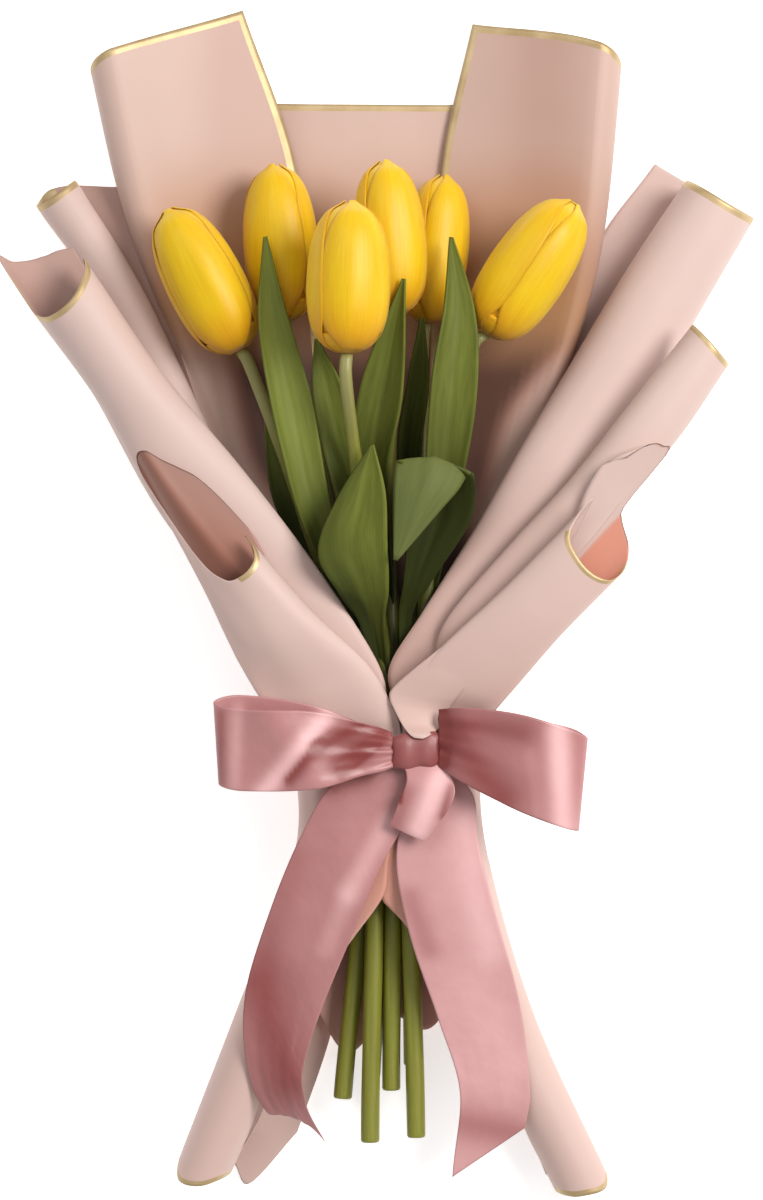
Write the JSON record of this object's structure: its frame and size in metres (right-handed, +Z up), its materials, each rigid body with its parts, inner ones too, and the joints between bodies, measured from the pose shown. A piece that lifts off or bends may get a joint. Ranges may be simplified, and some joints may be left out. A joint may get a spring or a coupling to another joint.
{
  "type": "bunch of tulips",
  "caption": "Hand-tied bunch of yellow tulips in rolled blush wrapping paper with a satin ribbon bow, lying on its back as a gift or display.",
  "frame": {"origin": "middle of the bunch's box, on the surface it lies on", "axes": "+X to the right and +Y towards the flowers, seen from above; +Z up, away from the surface it lies on"},
  "size_m": [0.3288, 0.5184, 0.0924],
  "materials": {
    "paper": "matte wrapping sheet with a gold edge",
    "ribbon": "satin",
    "petals": "soft waxy petal",
    "greens": "soft waxy leaf",
    "twine": "plain twine"
  },
  "bodies": {
    "root": {"back_sheet": "paper", "wing_left_inner": "paper", "wing_left_middle": "paper", "wing_left_outer": "paper", "wing_right_inner": "paper", "wing_right_middle": "paper", "wing_right_outer": "paper", "skirt_left": "paper", "skirt_right": "paper", "skirt_back": "paper", "ribbon_band": "ribbon", "bow_knot": "ribbon", "bow_loop_left": "ribbon", "bow_loop_right": "ribbon", "bow_fold": "ribbon", "bow_tail_left": "ribbon", "bow_tail_right": "ribbon", "bloom_1": "petals", "bloom_2": "petals", "bloom_3": "petals", "bloom_4": "petals", "bloom_5": "petals", "bloom_6": "petals", "stem_1": "greens", "stem_2": "greens", "stem_3": "greens", "stem_4": "greens", "stem_5": "greens", "stem_6": "greens", "stem_tie": "twine"}
  },
  "joints": []
}
